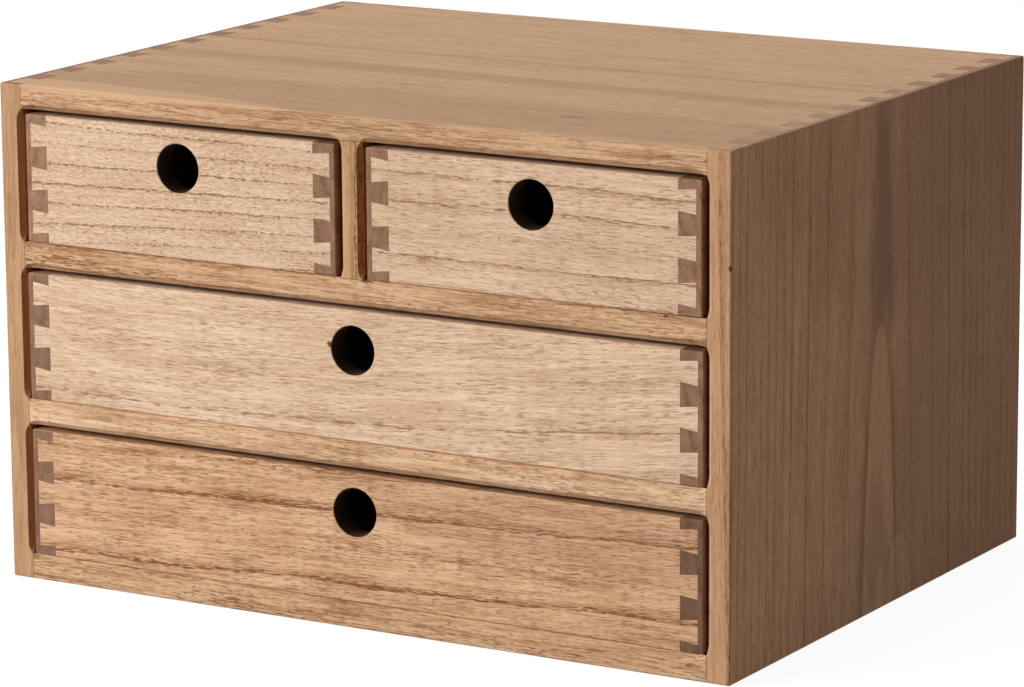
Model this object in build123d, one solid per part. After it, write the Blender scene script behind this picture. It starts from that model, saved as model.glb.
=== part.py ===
from build123d import *
import math
import os
from typing import NamedTuple

# Desktop mini drawers: a small solid-wood chest with two small drawers side by
# side above two full-width ones.  The case and the drawers are joined at every
# corner by half-blind dovetails, whose pins are cut on the side boards.
#
# Millimetres.  X runs to the right, Y to the back and Z up.  The origin is the
# middle of the underside.  A span is a (low, high) pair of limits on one axis.

# ---- Case ----
CASE_WIDTH = 330.0
CASE_DEPTH = 254.0
CASE_HEIGHT = 203.0
SIDE_THICKNESS = 10.0
TOP_THICKNESS = 10.0
BOTTOM_THICKNESS = 10.4
SHELF_THICKNESS = 10.6
DIVIDER_THICKNESS = 10.0
CASE_EDGE_RADIUS = 0.7          # easing of the case's outer edges

# Drawers in each row, from the bottom row up.
ROW_DRAWERS = (("lower",), ("middle",), ("upper_left", "upper_right"))
SHELF_NAMES = ("lower_shelf", "upper_shelf")

# Chamfer that a bearing-guided cutter leaves round each drawer opening.
OPENING_CHAMFER = 2.1
BEARING_RADIUS = 4.6

# Half-blind dovetails of the case: tails on the top and the bottom.
CASE_TAIL_PITCH = 21.6
CASE_PIN_WIDTH = 11.3           # at the side board's inner face
CASE_LAP = 2.6                  # wood left outside the tails' ends

# Stopped housings that hold the shelves and the divider.
HOUSING_DEPTH = 3.5
HOUSING_STOP = 14.0             # from the case's front edge

# Back panel in its groove.
BACK_PANEL_THICKNESS = 4.0
BACK_PANEL_INSET = 7.0          # from the case's back edge
BACK_PANEL_TONGUE = 3.5

# ---- Drawers ----
WIDE_DRAWER_SIDE_GAP = 1.2
SMALL_DRAWER_SIDE_GAP = 2.0     # of the drawers that share a row
DRAWER_TOP_GAP = 1.8
DRAWER_BOTTOM_GAP = 0.3
DRAWER_BACK_GAP = 0.5
DRAWER_FRONT_SETBACK = 0.1      # drawer front behind the case's front edge
FRONT_THICKNESS = 10.0
DRAWER_SIDE_THICKNESS = 10.0
DRAWER_BACK_THICKNESS = 10.0
FRONT_EDGE_RADIUS = 0.7         # round-over of the drawer face's outline
DRAWER_EDGE_CHAMFER = 0.6       # easing of the other edges and of the rim

# Half-blind dovetails of the drawers: tails on the front and the back.
DRAWER_TAIL_PITCH = 17.5
DRAWER_PIN_WIDTH = 9.5          # at the side board's inner face
DRAWER_LAP = 2.4

# Drawer bottom in its groove.
BOTTOM_PANEL_THICKNESS = 3.0
BOTTOM_PANEL_LIFT = 6.0         # groove above the drawer's underside
BOTTOM_PANEL_TONGUE = 4.0

# Finger hole in each front.
HOLE_DIAMETER = 19.5
HOLE_DROP = 15.8                # hole's centre below the front's top edge
HOLE_RIM_CHAMFER = 0.3

# ---- Joints of both ----
TAIL_SLOPE = 7.0                # degrees that a tail's flank leans outward
MIN_HALF_PIN = 2.5
GROOVE_CLEARANCE = 0.3          # round a thin panel in its groove


class Bay(NamedTuple):
    """One drawer's opening in the case, by its limits across and up, and the
    gap that the drawer leaves at each side of it."""

    name: str
    x: tuple
    z: tuple
    side_gap: float


def grown(span, amount):
    """The span with both limits moved outward."""
    return (span[0] - amount, span[1] + amount)


def middle(span):
    """The place halfway between a span's limits."""
    return (span[0] + span[1]) / 2


def block(x_span, y_span, z_span):
    """Solid block between two limits on each axis."""
    spans = (x_span, y_span, z_span)
    size = [span[1] - span[0] for span in spans]
    return Pos(*[middle(span) for span in spans]) * Box(*size)


# ---- Places that the case's pieces share ----
CASE_X = (-CASE_WIDTH / 2, CASE_WIDTH / 2)
CASE_Y = (-CASE_DEPTH / 2, CASE_DEPTH / 2)
CASE_Z = (0.0, CASE_HEIGHT)
INSIDE_X = grown(CASE_X, -SIDE_THICKNESS)
INSIDE_Z = (BOTTOM_THICKNESS, CASE_HEIGHT - TOP_THICKNESS)
BACK_PANEL_Y = (
    CASE_Y[1] - BACK_PANEL_INSET - BACK_PANEL_THICKNESS,
    CASE_Y[1] - BACK_PANEL_INSET,
)


def row_spans():
    """Height limits of the rows, equal in height, from the bottom up."""
    rows = len(ROW_DRAWERS)
    clear = INSIDE_Z[1] - INSIDE_Z[0] - (rows - 1) * SHELF_THICKNESS
    height = clear / rows
    lows = [INSIDE_Z[0] + row * (height + SHELF_THICKNESS) for row in range(rows)]
    return [(low, low + height) for low in lows]


def bays():
    """Every drawer opening: the drawers of a row share its width equally."""
    found = []
    for names, z_span in zip(ROW_DRAWERS, row_spans()):
        count = len(names)
        clear = INSIDE_X[1] - INSIDE_X[0] - (count - 1) * DIVIDER_THICKNESS
        width = clear / count
        gap = WIDE_DRAWER_SIDE_GAP if count == 1 else SMALL_DRAWER_SIDE_GAP
        for place, name in enumerate(names):
            left = INSIDE_X[0] + place * (width + DIVIDER_THICKNESS)
            found.append(Bay(name, (left, left + width), z_span, gap))
    return found


# ---- Dovetails ----
def tail_row(board_width, pitch, pin_width, length, thickness):
    """Row of tails that stand out along +X from the plane X = 0.

    The row is centred across the board, along Y, and rises from Z = 0.
    What the tails leave at the board's two edges are the half pins.
    """
    count = max(1, int((board_width + pin_width - 2 * MIN_HALF_PIN) / pitch))
    root = (pitch - pin_width) / 2
    tip = root + length * math.tan(math.radians(TAIL_SLOPE))
    outline = Polyline((0, -root), (length, -tip), (length, tip), (0, root), close=True)
    tail = make_face(outline)
    first = -(count - 1) / 2 * pitch
    row = Sketch() + [Pos(0, first + place * pitch) * tail for place in range(count)]
    return extrude(row, amount=thickness, dir=(0, 0, 1))


def both_ends(row, span):
    """A tail row at the high end of a span along X, and mirrored at its low end."""
    right = Pos(span[1], 0, 0) * row
    left = Pos(span[0], 0, 0) * mirror(row, about=Plane.YZ)
    return [left, right]


def case_tails(z_low, thickness):
    """Tails at the left and right ends of the case's top or bottom."""
    length = SIDE_THICKNESS - CASE_LAP
    row = tail_row(CASE_DEPTH, CASE_TAIL_PITCH, CASE_PIN_WIDTH, length, thickness)
    return [Pos(0, 0, z_low) * tails for tails in both_ends(row, INSIDE_X)]


def drawer_tails(inside_x, y_high, z_span, thickness):
    """Tails at the left and right ends of a drawer's front or back."""
    length = DRAWER_SIDE_THICKNESS - DRAWER_LAP
    height = z_span[1] - z_span[0]
    row = tail_row(height, DRAWER_TAIL_PITCH, DRAWER_PIN_WIDTH, length, thickness)
    upright = Rot(90, 0, 0) * row
    return [Pos(0, y_high, middle(z_span)) * tails for tails in both_ends(upright, inside_x)]


# ---- Eased edges ----
def rounded_cut(width, height, radius, depth):
    """Prism along Z with rounded corners, centred on the origin."""
    return extrude(RectangleRounded(width, height, radius), amount=depth / 2, both=True)


def lips(face):
    """The edges of every hole in a flat face."""
    return [edge for wire in face.inner_wires() for edge in wire.edges()]


def case_envelope(openings):
    """The case as one eased block, with each opening's edge chamfered at the front.

    The cutter's bearing runs round inside an opening and cannot reach into its
    square corners, so the chamfer fades out there.  Each board of the case is
    trimmed to this envelope.
    """
    envelope = block(CASE_X, CASE_Y, CASE_Z)
    envelope = fillet(envelope.edges(), CASE_EDGE_RADIUS)
    for bay in openings:
        width = bay.x[1] - bay.x[0]
        height = bay.z[1] - bay.z[0]
        cut = rounded_cut(width, height, BEARING_RADIUS, 2 * CASE_DEPTH)
        envelope -= Pos(middle(bay.x), 0, middle(bay.z)) * Rot(90, 0, 0) * cut
    front = envelope.faces().sort_by(Axis.Y)[0]
    return envelope.chamfer(OPENING_CHAMFER, None, lips(front))


def drawer_envelope(x_span, y_span, z_span, inside_x, inside_y):
    """A drawer as one eased block: its face's outline is rounded, and the other
    edges and the rim round its inside are chamfered."""
    plain = block(x_span, y_span, z_span)
    face = plain.faces().sort_by(Axis.Y)[0]
    rounded = fillet(face.edges(), FRONT_EDGE_RADIUS)
    envelope = chamfer(plain.edges() - face.edges(), DRAWER_EDGE_CHAMFER)
    width = inside_x[1] - inside_x[0]
    depth = inside_y[1] - inside_y[0]
    height = z_span[1] - z_span[0]
    cut = rounded_cut(width, depth, BEARING_RADIUS, 2 * height)
    envelope -= Pos(middle(inside_x), middle(inside_y), middle(z_span)) * cut
    rim = envelope.faces().sort_by(Axis.Z)[-1]
    return envelope.chamfer(DRAWER_EDGE_CHAMFER, None, lips(rim)) & rounded


# ---- Case ----
def shelf(z_span):
    """A shelf whose ends sit in the side boards' stopped housings."""
    x_housed = grown(INSIDE_X, HOUSING_DEPTH)
    front = block(INSIDE_X, (CASE_Y[0], CASE_Y[0] + HOUSING_STOP), z_span)
    back = block(x_housed, (CASE_Y[0] + HOUSING_STOP, BACK_PANEL_Y[0]), z_span)
    return front + back


def centre_divider(x_span, z_span):
    """The upright between two drawers, housed in the top and in the shelf below."""
    z_housed = grown(z_span, HOUSING_DEPTH)
    front = block(x_span, (CASE_Y[0], CASE_Y[0] + HOUSING_STOP), z_span)
    back = block(x_span, (CASE_Y[0] + HOUSING_STOP, BACK_PANEL_Y[0]), z_housed)
    return front + back


def back_panel(clearance):
    """The thin back panel, or with a clearance the groove that holds it."""
    return block(
        grown(INSIDE_X, BACK_PANEL_TONGUE + clearance),
        grown(BACK_PANEL_Y, clearance),
        grown(INSIDE_Z, BACK_PANEL_TONGUE + clearance),
    )


def case_pieces(openings):
    """The case's boards and its back panel, by name."""
    top_tails = case_tails(INSIDE_Z[1], TOP_THICKNESS)
    bottom_tails = case_tails(CASE_Z[0], BOTTOM_THICKNESS)
    top = block(INSIDE_X, CASE_Y, (INSIDE_Z[1], CASE_Z[1])) + top_tails
    bottom = block(INSIDE_X, CASE_Y, (CASE_Z[0], INSIDE_Z[0])) + bottom_tails
    left = block((CASE_X[0], INSIDE_X[0]), CASE_Y, CASE_Z)
    right = block((INSIDE_X[1], CASE_X[1]), CASE_Y, CASE_Z)

    rows = row_spans()
    shelves = [shelf((low[1], high[0])) for low, high in zip(rows, rows[1:])]
    small = [bay for bay in openings if bay.z == rows[-1]]
    divider = centre_divider((small[0].x[1], small[1].x[0]), rows[-1])

    left = left - top_tails - bottom_tails - shelves
    right = right - top_tails - bottom_tails - shelves
    top = top - divider
    shelves[-1] = shelves[-1] - divider

    boards = {
        "left_side": left,
        "right_side": right,
        "top_panel": top,
        "bottom_panel": bottom,
        "centre_divider": divider,
    }
    boards.update(zip(SHELF_NAMES, shelves))
    envelope = case_envelope(openings)
    groove = back_panel(GROOVE_CLEARANCE)
    pieces = {name: (board & envelope) - groove for name, board in boards.items()}
    pieces["back_panel"] = back_panel(0.0)
    return pieces


# ---- Drawers ----
def with_finger_hole(front, x_centre, y_span, z_top):
    """The drawer front with its finger hole, chamfered at both rims."""
    radius = HOLE_DIAMETER / 2
    depth = y_span[1] - y_span[0]
    hole = Rot(90, 0, 0) * Cylinder(radius, depth)
    drilled = front - Pos(x_centre, middle(y_span), z_top - HOLE_DROP) * hole
    rims = drilled.edges().filter_by(GeomType.CIRCLE)
    return chamfer(rims, HOLE_RIM_CHAMFER)


def drawer_pieces(bay):
    """One drawer's front, sides, back and bottom, by name."""
    x_span = grown(bay.x, -bay.side_gap)
    y_span = (CASE_Y[0] + DRAWER_FRONT_SETBACK, BACK_PANEL_Y[0] - DRAWER_BACK_GAP)
    z_span = (bay.z[0] + DRAWER_BOTTOM_GAP, bay.z[1] - DRAWER_TOP_GAP)
    inside_x = grown(x_span, -DRAWER_SIDE_THICKNESS)
    inside_y = (y_span[0] + FRONT_THICKNESS, y_span[1] - DRAWER_BACK_THICKNESS)

    front_tails = drawer_tails(inside_x, inside_y[0], z_span, FRONT_THICKNESS)
    back_tails = drawer_tails(inside_x, y_span[1], z_span, DRAWER_BACK_THICKNESS)
    front = block(inside_x, (y_span[0], inside_y[0]), z_span)
    front = with_finger_hole(front, middle(x_span), (y_span[0], inside_y[0]), z_span[1])
    boards = {
        "front": front + front_tails,
        "left_side": block((x_span[0], inside_x[0]), y_span, z_span),
        "right_side": block((inside_x[1], x_span[1]), y_span, z_span),
        "back": block(inside_x, (inside_y[1], y_span[1]), z_span) + back_tails,
    }
    for name in ("left_side", "right_side"):
        boards[name] = boards[name] - front_tails - back_tails

    panel_low = z_span[0] + BOTTOM_PANEL_LIFT
    panel = (
        grown(inside_x, BOTTOM_PANEL_TONGUE),
        grown(inside_y, BOTTOM_PANEL_TONGUE),
        (panel_low, panel_low + BOTTOM_PANEL_THICKNESS),
    )
    groove = block(*[grown(span, GROOVE_CLEARANCE) for span in panel])
    envelope = drawer_envelope(x_span, y_span, z_span, inside_x, inside_y)
    pieces = {name: (board & envelope) - groove for name, board in boards.items()}
    pieces["bottom"] = block(*panel)
    return {f"{bay.name}_drawer_{name}": piece for name, piece in pieces.items()}


def chest():
    """Every piece of the chest, by name."""
    openings = bays()
    pieces = case_pieces(openings)
    for bay in openings:
        pieces.update(drawer_pieces(bay))
    return pieces


def main():
    os.makedirs("parts", exist_ok=True)
    for name, piece in chest().items():
        export_step(piece, f"parts/{name}.step")


if __name__ == "__main__":
    main()
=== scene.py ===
"""Looks of the desktop mini drawers: stained solid wood, dovetails and a studio.

Every board is finished with a solid wood material: the rings, pores and fibres
are worked out in three dimensions from where the board lay in its log, so that
faces, edges and end grain of one board agree.  Lengths named _mm and those of
the wood's figure are in millimetres, and all others in metres.
"""

import logging
import math
from dataclasses import dataclass, fields, replace
from enum import Enum

import bpy
from mathutils import Euler, Matrix, Vector

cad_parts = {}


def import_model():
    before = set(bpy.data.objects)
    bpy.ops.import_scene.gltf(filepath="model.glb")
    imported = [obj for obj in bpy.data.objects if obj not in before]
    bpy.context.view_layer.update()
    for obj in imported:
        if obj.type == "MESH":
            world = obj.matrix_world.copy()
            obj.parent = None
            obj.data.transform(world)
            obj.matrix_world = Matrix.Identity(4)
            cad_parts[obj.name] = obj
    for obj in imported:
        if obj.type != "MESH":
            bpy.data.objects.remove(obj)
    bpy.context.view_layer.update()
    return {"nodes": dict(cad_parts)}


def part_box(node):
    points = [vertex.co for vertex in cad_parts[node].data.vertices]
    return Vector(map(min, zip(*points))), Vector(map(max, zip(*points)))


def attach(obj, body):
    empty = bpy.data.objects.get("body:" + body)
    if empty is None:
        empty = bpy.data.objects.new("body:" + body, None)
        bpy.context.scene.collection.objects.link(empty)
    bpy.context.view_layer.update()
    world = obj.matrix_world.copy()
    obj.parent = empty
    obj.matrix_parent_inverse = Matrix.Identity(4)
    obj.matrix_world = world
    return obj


LOG = logging.getLogger("mini_drawers")

Colour = tuple[float, float, float]
Point = tuple[float, float, float]
Socket = bpy.types.NodeSocket
Value = Socket | float
Paint = Socket | Colour
MM = 0.001
FIRST_DRAWER_SEED = 20.0
DRAWER_SEED_STEP = 3.0


def mm(length: float) -> float:
    """A length of the frame in millimetres, to a thousandth."""
    return round(length / MM, 3)


def srgb(red: int, green: int, blue: int) -> Colour:
    """Linear colour from the 0 to 255 values of a screen colour.

    Args:
        red: Red value, 0 to 255.
        green: Green value, 0 to 255.
        blue: Blue value, 0 to 255.

    Returns:
        The colour as three linear values from 0 to 1.
    """
    linear = []
    for value in (red, green, blue):
        share = value / 255.0
        # The screen's curve is straight near black and a power above that.
        low = share <= 0.04045
        linear.append(share / 12.92 if low else ((share + 0.055) / 1.055) ** 2.4)
    return tuple(linear)


def put(name: str, data: bpy.types.ID) -> bpy.types.Object:
    """Put a new object in the scene.

    Args:
        name: The object's name.
        data: Its mesh, camera or lamp.

    Returns:
        The object.
    """
    thing = bpy.data.objects.new(name, data)
    bpy.context.scene.collection.objects.link(thing)
    return thing


class Grain(Enum):
    """The way that a board's fibres run."""

    ACROSS = (1.0, 0.0, 0.0)
    BACK = (0.0, 1.0, 0.0)
    UP = (0.0, 0.0, 1.0)


@dataclass(frozen=True)
class Tone:
    """The stained colours of one kind of board, of its faces and its ends."""

    light: Colour
    dark: Colour
    pore: Colour
    end_light: Colour
    end_dark: Colour

    def with_ends(self, share: float) -> "Tone":
        """The same tone with brighter or darker end grain.

        Args:
            share: What the end grain's colours are multiplied by.

        Returns:
            The new tone.
        """
        end_light = tuple(share * value for value in self.end_light)
        end_dark = tuple(share * value for value in self.end_dark)
        return replace(self, end_light=end_light, end_dark=end_dark)


@dataclass(frozen=True)
class Figure:
    """How a board's rings, pores and fibres look.

    ring_gap_mm is the distance between rings, warp_mm and wiggle_mm how far
    they wander slowly and quickly, uneven how much their gaps differ, and
    vary how much their strengths differ.  band is how dark each ring starts
    and spread how much of a ring its pores fill.  line and scatter are how
    many pores lie along the rings and between them, pore_length_mm and
    pore_width_mm how long and wide they are, and pore_depth how dark.  grit,
    fibre, streak and cloud are how much the shade changes in short flecks,
    fine fibres, long streaks and broad clouds.
    """

    ring_gap_mm: float = 7.0
    warp_mm: float = 1.5
    wiggle_mm: float = 0.3
    uneven: float = 0.8
    vary: float = 0.6
    band: float = 0.3
    spread: float = 0.4
    line: float = 0.8
    scatter: float = 0.45
    pore_length_mm: float = 8.0
    pore_width_mm: float = 0.42
    pore_depth: float = 0.65
    grit: float = 0.22
    fibre: float = 0.26
    streak: float = 0.16
    cloud: float = 0.14


@dataclass(frozen=True)
class Cut:
    """Where a board lay in its log.

    pith_mm is a point on the log's centre line and lean how far that line
    tilts sideways and up for each millimetre along the grain.  Rings close in
    on the one at focus_mm by taper for each millimetre, and the grain bends
    by bow for each square millimetre.
    """

    grain: Grain
    pith_mm: Point
    lean: tuple[float, float] = (0.0, 0.0)
    taper: float = 0.0
    focus_mm: float = 0.0
    bow: float = 0.0

    def axes(self) -> Matrix:
        """Rotation from the board's frame to its log's.

        Returns:
            The rotation, after which X runs along the grain.
        """
        along = Vector(self.grain.value)
        upright = Grain.BACK if self.grain is Grain.UP else Grain.UP
        up = Vector(upright.value)
        side = up.cross(along)
        leaning = (along + side * self.lean[0] + up * self.lean[1]).normalized()
        up = (up - leaning * up.dot(leaning)).normalized()
        side = up.cross(leaning)
        return Matrix((leaning, side, up))


@dataclass(frozen=True)
class Mark:
    """A knot, chip or patch: an ellipsoid of another colour in a board.

    strength is how much of the colour shows, and ragged how soft and uneven
    the mark's edge is.  A mark without a colour shows the wood as it is below
    the marks before it.
    """

    centre_mm: Point
    radii_mm: Point
    colour: Colour | None
    strength: float = 0.8
    ragged: float = 0.8


@dataclass(frozen=True)
class Board:
    """One board of the chest and how its wood looks.

    seed sets its figure apart from that of other boards.  scorched is
    the way that its faces near the chest's front look which get painted shade,
    if it has any.
    """

    node: str
    cut: Cut
    figure: Figure
    tone: Tone
    seed: float
    marks: tuple[Mark, ...] = ()
    scorched: Point | None = None


class Tree:
    """Short calls that add and link the nodes of one tree."""

    # Sockets of a Mix node that mixes colours.
    MIX_SHARE = 0
    MIX_FIRST = 6
    MIX_SECOND = 7
    MIX_RESULT = 2

    def __init__(self, tree: bpy.types.NodeTree) -> None:
        """Keep the tree that nodes go to."""
        self.tree = tree

    @classmethod
    def emptied(cls, owner: bpy.types.Material | bpy.types.World) -> "Tree":
        """The tree of a material or a world, without its first nodes.

        Args:
            owner: The new material or world.

        Returns:
            The empty tree.
        """
        owner.use_nodes = True
        owner.node_tree.nodes.clear()
        return cls(owner.node_tree)

    def add(self, kind: str, **settings: object) -> bpy.types.Node:
        """Add a node and set its properties.

        Args:
            kind: The node's type name.
            **settings: Properties of the node by name.

        Returns:
            The new node.
        """
        node = self.tree.nodes.new(kind)
        for name, value in settings.items():
            setattr(node, name, value)
        return node

    def feed(self, socket: Socket, value: Value | Paint) -> None:
        """Link an input to a socket, or set its value.

        Args:
            socket: The input.
            value: A socket, a number or a colour.
        """
        if isinstance(value, bpy.types.NodeSocket):
            self.tree.links.new(value, socket)
        elif socket.type == "RGBA":
            socket.default_value = (*value, 1.0)
        else:
            socket.default_value = value

    def math(self, operation: str, *values: Value, clamp: bool = False) -> Socket:
        """Scalar maths on sockets or numbers.

        Args:
            operation: The node's operation.
            *values: What it works on.
            clamp: Whether the result is kept from 0 to 1.

        Returns:
            The result's socket.
        """
        node = self.add("ShaderNodeMath", operation=operation, use_clamp=clamp)
        for socket, value in zip(node.inputs, values):
            self.feed(socket, value)
        return node.outputs[0]

    def ease(self, value: Value, low: Value, high: Value) -> Socket:
        """Smooth step of a value.

        Args:
            value: The value.
            low: Where the step is 0.
            high: Where the step is 1.

        Returns:
            The step's socket.
        """
        node = self.add("ShaderNodeMapRange", interpolation_type="SMOOTHSTEP")
        self.feed(node.inputs["Value"], value)
        self.feed(node.inputs["From Min"], low)
        self.feed(node.inputs["From Max"], high)
        return node.outputs["Result"]

    def mix(self, share: Value, first: Paint, second: Paint, blend: str = "MIX") -> Socket:
        """Mix of two colours.

        Args:
            share: How much of the second colour is in it.
            first: The first colour.
            second: The second colour.
            blend: The way that the second goes on the first.

        Returns:
            The mixed colour's socket.
        """
        node = self.add("ShaderNodeMix", data_type="RGBA", blend_type=blend, clamp_factor=True)
        self.feed(node.inputs[self.MIX_SHARE], share)
        self.feed(node.inputs[self.MIX_FIRST], first)
        self.feed(node.inputs[self.MIX_SECOND], second)
        return node.outputs[self.MIX_RESULT]

    def vector(self, x: Value, y: Value, z: Value) -> Socket:
        """Vector from three sockets or numbers.

        Args:
            x: Its X.
            y: Its Y.
            z: Its Z.

        Returns:
            The vector's socket.
        """
        node = self.add("ShaderNodeCombineXYZ")
        for socket, value in zip(node.inputs, (x, y, z)):
            self.feed(socket, value)
        return node.outputs[0]

    def parts(self, vector: Socket) -> tuple[Socket, Socket, Socket]:
        """X, Y and Z of a vector.

        Args:
            vector: The vector's socket.

        Returns:
            The three parts' sockets.
        """
        node = self.add("ShaderNodeSeparateXYZ")
        self.feed(node.inputs[0], vector)
        return tuple(node.outputs)

    def noise(self, vector: Socket, detail: float = 2.0, rough: float = 0.5) -> Socket:
        """Noise of about 0.5 on average, with grains of a size of 1.

        Args:
            vector: Where it is read.
            detail: How many finer noises it adds.
            rough: How strong those are.

        Returns:
            The noise's socket.
        """
        node = self.add("ShaderNodeTexNoise")
        self.feed(node.inputs["Vector"], vector)
        node.inputs["Scale"].default_value = 1.0
        node.inputs["Detail"].default_value = detail
        node.inputs["Roughness"].default_value = rough
        return node.outputs[0]

    def facing(self, normal: Socket, look: Point) -> Socket:
        """Cosine between a surface's normal and a direction.

        Args:
            normal: The normal's socket.
            look: The direction.

        Returns:
            The cosine's socket.
        """
        node = self.add("ShaderNodeVectorMath", operation="DOT_PRODUCT")
        self.feed(node.inputs[0], normal)
        node.inputs[1].default_value = Vector(look).normalized()
        return node.outputs["Value"]

    def surface(self, shader: Socket, kind: str = "ShaderNodeOutputMaterial") -> None:
        """End the tree with an output node that this shader goes to."""
        out = self.add(kind)
        self.feed(out.inputs["Surface"], shader)

    def seen(self) -> Socket:
        """Whether a ray shows to the camera, also by way of metal or glass.

        Returns:
            A socket that is 1 for such rays and 0 for others.
        """
        path = self.add("ShaderNodeLightPath").outputs
        straight = self.math("MAXIMUM", path["Is Camera Ray"], path["Is Glossy Ray"])
        return self.math("MAXIMUM", straight, path["Is Transmission Ray"])


def socket_name(field_name: str) -> str:
    """The wood's input for a field, such as Ring Gap for ring_gap_mm."""
    return field_name.removesuffix("_mm").replace("_", " ").title()


@dataclass(frozen=True)
class PoreLayer:
    """One layer of pores: shares of their length and width, gate and shift.

    A pore shows where a noise is above gate.
    """

    length: float
    width: float
    gate: float
    shift_mm: float


class SolidWood:
    """The shared wood: one node group that each board's material uses."""

    # Sizes of each noise's grains in mm: along the fibres, sideways and up.
    SLOW_DRIFT = (70.0, 24.0, 24.0)
    QUICK_DRIFT = (5.0, 3.0, 3.0)
    PORE_PATCH = (45.0, 8.0, 8.0)
    FIBRE = (16.0, 0.7, 0.7)
    SHADES = {
        "Grit": (3.5, 0.8, 0.8),
        "Fibre": FIBRE,
        "Streak": (45.0, 2.2, 2.2),
        "Cloud": (60.0, 17.0, 17.0),
    }
    END_SPECK = (25.0, 0.9, 0.9)
    END_PATCH = (40.0, 5.0, 5.0)
    # A noise keeps mostly within a quarter of its mean of a half, and this
    # stretches it to go from minus to plus 1.
    SWING = 4.0
    # How far one seed shifts a board along its log, in mm.
    SEED_SHIFT = 1000.0
    # How quickly the gaps between rings change outwards, for each mm.
    GAP_DRIFT = 0.06

    # Shares of a ring, from its start: where its pores and its dark band have
    # set in, and from where to where that band fades.
    PORE_ONSET = 0.03
    BAND_ONSET = 0.04
    BAND_FADE = (0.03, 0.5)
    # The share of their spread in which a ring's pores are dense.
    DENSE = 0.25

    # Long pores, and others that are shorter, wider and fewer.
    LAYERS = (PoreLayer(1.0, 1.0, 0.74, 0.0), PoreLayer(0.5, 1.4, 0.77, 331.0))
    # How far crowding lowers the gate, how soft a pore's edge is, and how
    # strong the finer noises of the pores are.
    CROWD_DROP = 0.24
    PORE_EDGE = 0.10
    PORE_NOISE_ROUGH = 0.4
    # How much pores crowd in patches, and how much deeper they are in a ring.
    PATCHINESS = 0.3
    RING_DEPTH = 0.35

    # The shade of a face before bands and noises are added to it.
    PLAIN_SHADE = 0.3
    # End grain: how strong its noises are, the shade that they are added to,
    # and how dark its bands are.
    END_CONTRAST = 1.5
    END_SHADE = -1.05
    END_BAND = 0.4

    # Roughness without pores and what a pore adds, and heights of both.
    PLAIN_ROUGHNESS = 0.55
    PORE_ROUGHNESS = 0.15
    FIBRE_HEIGHT = 0.5
    PORE_HEIGHT = -0.8
    BUMP_STRENGTH = 0.6
    BUMP_DISTANCE = 0.0001
    SPECULAR = 0.06
    # Cosines to the grain between which a face turns into end grain.
    END_FACING = (0.55, 0.9)
    # Cosines to scorched between which a face takes on painted shade, and
    # the places on Y, in metres, between which that painted shade fades.
    SCORCH_FACING = (0.75, 0.88)
    SCORCH_DEPTH = (-0.118, -0.095)
    # Softness of a mark's edge without ragged, and what ragged adds.
    MARK_EDGE = 0.004
    RAGGED_EDGE = 0.45

    def __init__(self) -> None:
        """Build the group."""
        self.group = bpy.data.node_groups.new("solid_wood", "ShaderNodeTree")
        inputs = {"Log": "NodeSocketVector"}
        inputs |= dict.fromkeys(("Seed", "End", "Taper", "Focus", "Bow"), "NodeSocketFloat")
        inputs |= {socket_name(entry.name): "NodeSocketFloat" for entry in fields(Figure)}
        inputs |= {socket_name(entry.name): "NodeSocketColor" for entry in fields(Tone)}
        outputs = {
            "Color": "NodeSocketColor", "Roughness": "NodeSocketFloat", "Height": "NodeSocketFloat",
        }
        for way, sockets in (("INPUT", inputs), ("OUTPUT", outputs)):
            for name, kind in sockets.items():
                self.group.interface.new_socket(name, in_out=way, socket_type=kind)
        self.tree = Tree(self.group)
        self.given = self.tree.add("NodeGroupInput").outputs
        self.along, self.side, self.up = self._log_place()
        shift = self.tree.math("MULTIPLY", self.given["Seed"], self.SEED_SHIFT)
        self.seeded = self.tree.math("ADD", self.along, shift)
        self._build()

    def _log_place(self) -> tuple[Socket, Socket, Socket]:
        """The place in the log, straightened where the grain bends.

        Returns:
            The places along the log, sideways and up.
        """
        tree = self.tree
        along, side, up = tree.parts(self.given["Log"])
        bend = tree.math("MULTIPLY", tree.math("MULTIPLY", along, along), self.given["Bow"])
        return along, side, tree.math("SUBTRACT", up, bend)

    def _grains(self, sizes: Point) -> Socket:
        """Vector for a noise with stretched grains.

        Args:
            sizes: The grains' sizes in mm along, sideways and up.

        Returns:
            The vector's socket.
        """
        place = (self.seeded, self.side, self.up)
        parts = [self.tree.math("DIVIDE", part, size) for part, size in zip(place, sizes)]
        return self.tree.vector(*parts)

    def _swing(self, vector: Socket, reach: Value, detail: float = 2.0) -> Socket:
        """Noise that goes from about minus to plus a reach.

        Args:
            vector: Where it is read.
            reach: How far it goes.
            detail: How many finer noises it adds.

        Returns:
            The noise's socket.
        """
        noise = self.tree.noise(vector, detail)
        swing = self.tree.math("MULTIPLY_ADD", noise, self.SWING, -self.SWING / 2)
        return self.tree.math("MULTIPLY", swing, reach)

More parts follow.
